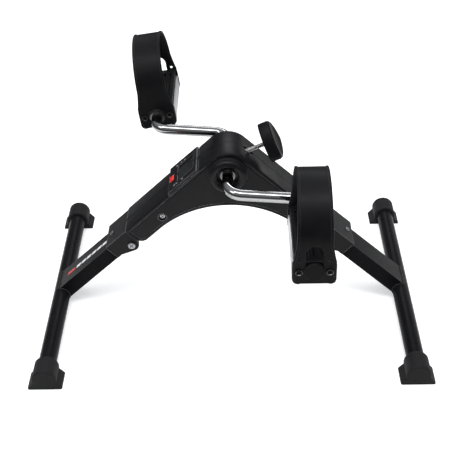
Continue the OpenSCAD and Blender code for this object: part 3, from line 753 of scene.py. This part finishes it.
def weld_bead(radius=1.3):
    """A wavy bead round the joint of the leg tube and the foot bar, in the leg's frame."""
    half_w, half_t = LEG_W / 2, LEG_T / 2
    spread = math.degrees(math.asin((half_t + 0.2) / BAR_R))
    side = [(half_w, x, z) for x, z in arc((0, 0), BAR_R, spread, -spread, 16)]
    top = [(-half_w + LEG_W * k / 24, side[0][1], side[0][2]) for k in range(1, 24)]
    path = top + side + [(-y, x, -z) for y, x, z in top] + [
        (-half_w, x, z) for _, x, z in reversed(side)]
    rings = []
    for k, (y, x, z) in enumerate(path):
        after, before = path[(k + 1) % len(path)], path[k - 1]
        along = Vector((after[1] - before[1], after[0] - before[0], after[2] - before[2]))
        along.normalize()
        away = Vector((x, 0, z)).normalized()
        across = along.cross(away).normalized()
        here = Vector((x, y, z))
        r = radius * (0.85 + 0.3 * noise.noise(here * 0.45))
        rings.append([here + r * (math.cos(a) * away + math.sin(a) * across)
                      for a in [2 * math.pi * i / 12 for i in range(12)]])
    return loft(rings, loop=True)


for side_name, side in SIDES.items():
    body = f"{side_name}_leg"
    keep(f"{side_name}_foot_bar", PAINT, 0.4)
    keep(f"{side_name}_leg_tube", PAINT, 1.2, 60)
    keep(f"{side_name}_bracket", SHELL, 0.9)
    for end, mirror in ENDS.items():
        cap = build(f"{side_name}_{end}_cap", cap_skin(), side @ mirror @ place((BAR.x, 0, 0)))
        dress(cap, body, FOOT, [f"{side_name}_{end}_foot"])
    bead = build(f"{side_name}_weld", weld_bead(), side @ LEG)
    dress(bead, body, WELD)
    # the bracket's top screw points up, so local -Y of the screw is turned to the leg's Z
    upright = side @ LEG @ Matrix.Translation((HINGE_S - 19, 0, -HINGE_DROP)) @ \
        Matrix.Rotation(-math.pi / 2, 4, "X")
    top = LEG_T / 2 + HINGE_DROP + 4.6
    cross_screw(f"{side_name}_top_screw", body, f"{side_name}_bracket_screw", upright, 3.2,
                top + 1.4, top, 1.75, -(top - 10.6))

# ---------------------------------------------------------------- printed marks
PRINT_THICK = 0.06


def decal(name, outlines, z, where, body, material):
    """Thin printed shapes lying on a surface, each an outline in local X and Y."""
    skins = []
    for outline in outlines:
        bottom = [(x, y, z - 0.02) for x, y in outline]
        top = [(x, y, z + PRINT_THICK) for x, y in outline]
        skins.append(loft([bottom, top]))
    piece = build(name, both(*skins), where)
    dress(piece, body, material)


def bar_mark(x, y, length, width, lean=0.0):
    return [(x, y - width / 2), (x + length, y - width / 2),
            (x + length + lean, y + width / 2), (x + lean, y + width / 2)]


WHITE_MARKS = [bar_mark(38 + 10.5 * k, 0, 8.4, 5.4, 1.6) for k in range(6)]
RED_MARKS = [bar_mark(20, 0, 14.5, 5.4, 1.6)]
decal("leg_stripe_white", WHITE_MARKS, LEG_T / 2, LEG, "left_leg", PRINT)
decal("leg_stripe_red", RED_MARKS, LEG_T / 2, LEG, "left_leg", PRINT_RED)

CASE_FALL = math.atan2(CASE_DROP, METER_U[1] - METER_U[0] - 2.5)
CASE_TOP = ARM @ Matrix.Translation((METER_U[0] + 1.5, 0, CASE_HIGH_N)) @ \
    Matrix.Rotation(CASE_FALL, 4, "Y")
TICKS = [bar_mark(x, y, 2.6, 1.1) for x, y in (
    (9, -21), (13, -21), (23, -21), (20, 21), (26, 21), (12, 21))]
decal("meter_ticks", TICKS, 0, CASE_TOP, "housing", PRINT)

# ---------------------------------------------------------------- studio
def plane(name, size, z):
    mesh = bpy.data.meshes.new(name)
    mesh.from_pydata([(-size, -size, z), (size, -size, z), (size, size, z), (-size, size, z)],
                     [], [(0, 1, 2, 3)])
    obj = bpy.data.objects.new(name, mesh)
    bpy.context.scene.collection.objects.link(obj)
    return obj


def floor_finish():
    """A pale floor that is partly lit for the camera, and whose far part mirrors dark."""
    material, tree, shader, node = new_material("studio_floor")
    shader.inputs["Roughness"].default_value = 0.9
    shader.inputs["Specular IOR Level"].default_value = 0.0
    seen = node("ShaderNodeLightPath").outputs["Is Camera Ray"]
    away = node("ShaderNodeVectorMath", {0: node("ShaderNodeTexCoord").outputs["Object"]},
                operation="LENGTH").outputs["Value"]
    near = node("ShaderNodeMapRange", {"Value": away, "From Min": 0.42, "From Max": 0.8,
                                       "To Min": 0.88, "To Max": 0.08}).outputs[0]
    tone = node("ShaderNodeMix", {0: seen, 2: near, 3: 0.62}).outputs[0]
    tree.links.new(tone, shader.inputs["Base Color"])
    shader.inputs["Emission Color"].default_value = (0.97, 0.98, 1.0, 1)
    lit = node("ShaderNodeMath", {0: seen, 1: 0.55}, operation="MULTIPLY").outputs[0]
    tree.links.new(lit, shader.inputs["Emission Strength"])
    return material


floor = plane("floor", 12, -0.0005)
floor.data.materials.append(floor_finish())


def softbox(name, place_at, aim, size, power):
    light = bpy.data.lights.new(name, "AREA")
    light.shape = "RECTANGLE"
    light.size, light.size_y = size
    light.energy = power
    obj = bpy.data.objects.new(name, light)
    bpy.context.scene.collection.objects.link(obj)
    obj.location = place_at
    obj.rotation_euler = (Vector(aim) - Vector(place_at)).to_track_quat("-Z", "Y").to_euler()


softbox("key", (-1.7, -0.9, 1.9), (0, 0, 0.1), (1.0, 1.0), 9)
softbox("fill", (1.9, -1.4, 1.4), (0, 0, 0.1), (0.8, 1.4), 4)
softbox("back", (0.1, 2.0, 1.6), (0, 0, 0.2), (1.0, 0.4), 6)
softbox("rim", (1.6, 2.0, 0.55), (0, 0, 0.2), (0.9, 0.7), 3.5)
softbox("ceiling", (-0.1, -0.6, 1.9), (0, 0, 0.1), (1.6, 0.3), 14)
overhead = bpy.data.lights.new("overhead", "SUN")
overhead.energy = 2.7
overhead.angle = math.radians(70)
overhead_object = bpy.data.objects.new("overhead", overhead)
overhead_object.visible_glossy = False
bpy.context.scene.collection.objects.link(overhead_object)

# The studio is pale where it is seen, and darker towards the horizon in reflections
world = bpy.data.worlds.new("studio")
world.use_nodes = True
bpy.context.scene.world = world
tree = world.node_tree
sky = tree.nodes["Background"]
split = tree.nodes.new("ShaderNodeSeparateXYZ")
height = tree.nodes.new("ShaderNodeMapRange")
seen = tree.nodes.new("ShaderNodeLightPath")
strength = tree.nodes.new("ShaderNodeMix")
tree.links.new(tree.nodes.new("ShaderNodeTexCoord").outputs["Generated"], split.inputs[0])
tree.links.new(split.outputs["Z"], height.inputs["Value"])
height.inputs["From Min"].default_value = 0.05
height.inputs["From Max"].default_value = 0.9
height.inputs["To Min"].default_value = 0.07
height.inputs["To Max"].default_value = 0.5
tree.links.new(seen.outputs["Is Camera Ray"], strength.inputs["Factor"])
tree.links.new(height.outputs[0], strength.inputs["A"])
strength.inputs["B"].default_value = 0.95
tree.links.new(strength.outputs["Result"], sky.inputs["Strength"])
sky.inputs["Color"].default_value = (0.94, 0.96, 1.0, 1)

lens = bpy.data.cameras.new("camera")
lens.lens = 80.23
lens.sensor_width = 36
camera = bpy.data.objects.new("camera", lens)
bpy.context.scene.collection.objects.link(camera)
right = Vector((0.99973, 0.00416, -0.02271))
up = Vector((0.01607, 0.58079, 0.81391))
forward = Vector((-0.01658, 0.81406, -0.58057))
turn = Matrix((right, up, -forward)).transposed().to_4x4()
camera.matrix_world = Matrix.Translation((0.01617, -1.07417, 0.87934)) @ turn
bpy.context.scene.camera = camera
bpy.context.scene.view_settings.view_transform = "Standard"
